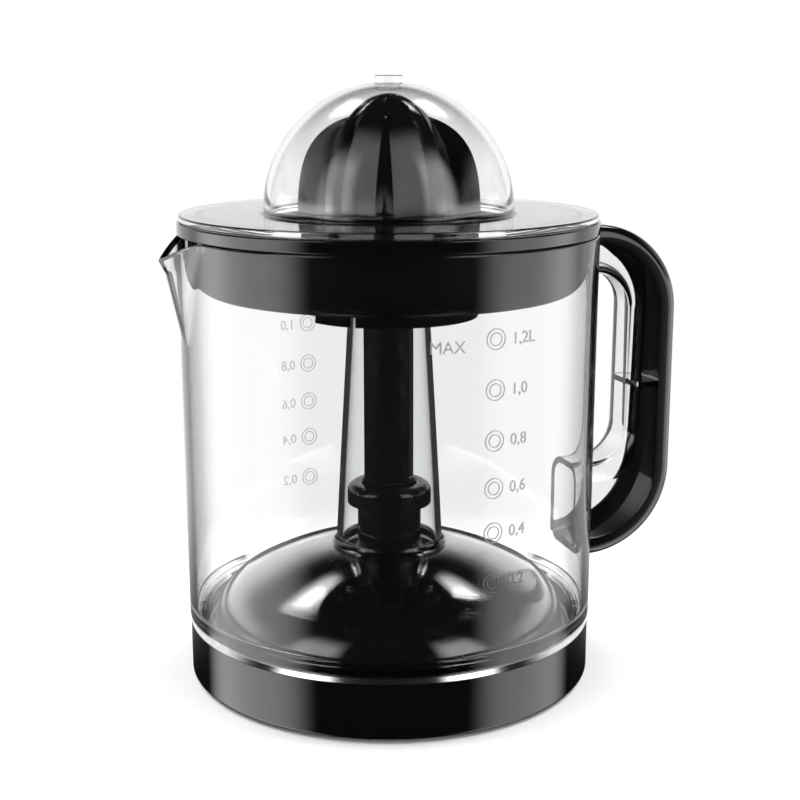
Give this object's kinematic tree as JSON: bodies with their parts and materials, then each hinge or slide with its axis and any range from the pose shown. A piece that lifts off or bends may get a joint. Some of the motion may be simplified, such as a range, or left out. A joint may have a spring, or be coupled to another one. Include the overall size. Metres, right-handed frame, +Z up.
{
  "type": "citrus press juicer",
  "caption": "Electric citrus press with a ribbed reamer under a clear domed cover, black strainer, clear spouted jug with covered handle, and a round black motor base.",
  "frame": {"origin": "centre of the base on the plane the feet stand on", "axes": "+Z up along the juicing axis, +X towards the jug handle, -X towards the spout"},
  "size_m": [0.1799, 0.1398, 0.202],
  "materials": {
    "gloss_black": "high gloss black ABS",
    "clear_plastic": "clear polished SAN",
    "black_plastic": "moulded matt black",
    "white_nylon": "natural nylon",
    "rubber": "soft black rubber",
    "steel": "plated steel",
    "bronze": "sintered bronze",
    "copper_winding": "enamelled copper wire",
    "magnet": "ferrite"
  },
  "bodies": {
    "base": {"base_housing": "gloss_black", "splash_collar": "gloss_black", "spindle_bush": "bronze", "microswitch": "black_plastic", "motor_can": "steel", "coil": "copper_winding", "lower_poles": "steel", "upper_poles": "steel", "gear_plate": "steel", "idler_axle": "steel", "base_screws": "steel", "gear_plate_screws": "steel", "base_plate": "black_plastic", "foot_1": "rubber", "foot_2": "rubber", "foot_3": "rubber", "foot_4": "rubber", "cord_gland": "rubber", "terminal_block": "black_plastic", "return_spring": "steel"},
    "jug": {"jug": "clear_plastic", "handle_cover": "gloss_black"},
    "strainer": {"strainer": "gloss_black"},
    "pulp_ring": {"pulp_ring": "gloss_black"},
    "shaft_clip": {"retaining_clip": "white_nylon"},
    "cone": {"reamer_cone": "gloss_black", "drive_shaft": "gloss_black"},
    "cover": {"dust_cover": "clear_plastic"},
    "plunger": {"plunger": "black_plastic"},
    "spindle": {"spindle": "steel"},
    "output": {"output_gear": "white_nylon"},
    "idler": {"idler_gear": "white_nylon"},
    "rotor": {"rotor_magnet": "magnet", "rotor_pinion": "steel"},
    "switch_lever": {"switch_lever": "steel"}
  },
  "joints": [
    {"name": "jug_lift", "type": "slide", "parent": "base", "child": "jug", "axis": [0, 0, 1], "range_m": [0, 0.06]},
    {"name": "strainer_lift", "type": "slide", "parent": "jug", "child": "strainer", "axis": [0, 0, 1], "range_m": [0, 0.08]},
    {"name": "cover_lift", "type": "slide", "parent": "strainer", "child": "cover", "axis": [0, 0, 1], "range_m": [0, 0.06]},
    {"name": "cone_press", "type": "slide", "parent": "strainer", "child": "shaft_clip", "axis": [0, 0, -1], "range_m": [0, 0.0025], "stiffness_N_per_m": 500, "springref_m": -0.003},
    {"name": "cone_spin", "type": "hinge", "parent": "shaft_clip", "child": "cone", "pos_m": [0, 0, 0.15], "axis": [0, 0, 1], "continuous": true},
    {"name": "pulp_ring_turn", "type": "hinge", "parent": "strainer", "child": "pulp_ring", "pos_m": [0, 0, 0.128], "axis": [0, 0, 1], "range_deg": [0, 9]},
    {"name": "plunger_press", "type": "slide", "parent": "base", "child": "plunger", "axis": [0, 0, -1], "range_m": [0, 0.0025], "deforming": ["return_spring"]},
    {"name": "spindle_spin", "type": "hinge", "parent": "plunger", "child": "spindle", "pos_m": [0, 0, 0.05], "axis": [0, 0, 1], "continuous": true},
    {"name": "output_spin", "type": "hinge", "parent": "base", "child": "output", "pos_m": [0, 0, 0.03], "axis": [0, 0, 1], "continuous": true},
    {"name": "idler_spin", "type": "hinge", "parent": "base", "child": "idler", "pos_m": [-0.02133, 0.0211, 0.025], "axis": [0, 0, 1], "continuous": true},
    {"name": "rotor_spin", "type": "hinge", "parent": "base", "child": "rotor", "pos_m": [-0.031, 0, 0.02], "axis": [0, 0, 1], "continuous": true},
    {"name": "lever_tilt", "type": "hinge", "parent": "base", "child": "switch_lever", "pos_m": [0.014, -0.02, 0.0146], "axis": [1, 0, 0], "range_deg": [-7.5, 0]}
  ],
  "couplings": [
    {"joint": "plunger_press", "follows": "cone_press", "ratio": 1},
    {"joint": "lever_tilt", "follows": "cone_press", "rad_per_m": -50},
    {"joint": "spindle_spin", "follows": "cone_spin", "ratio": 1},
    {"joint": "output_spin", "follows": "cone_spin", "ratio": 1},
    {"joint": "idler_spin", "follows": "cone_spin", "ratio": -5},
    {"joint": "rotor_spin", "follows": "cone_spin", "ratio": 24}
  ]
}
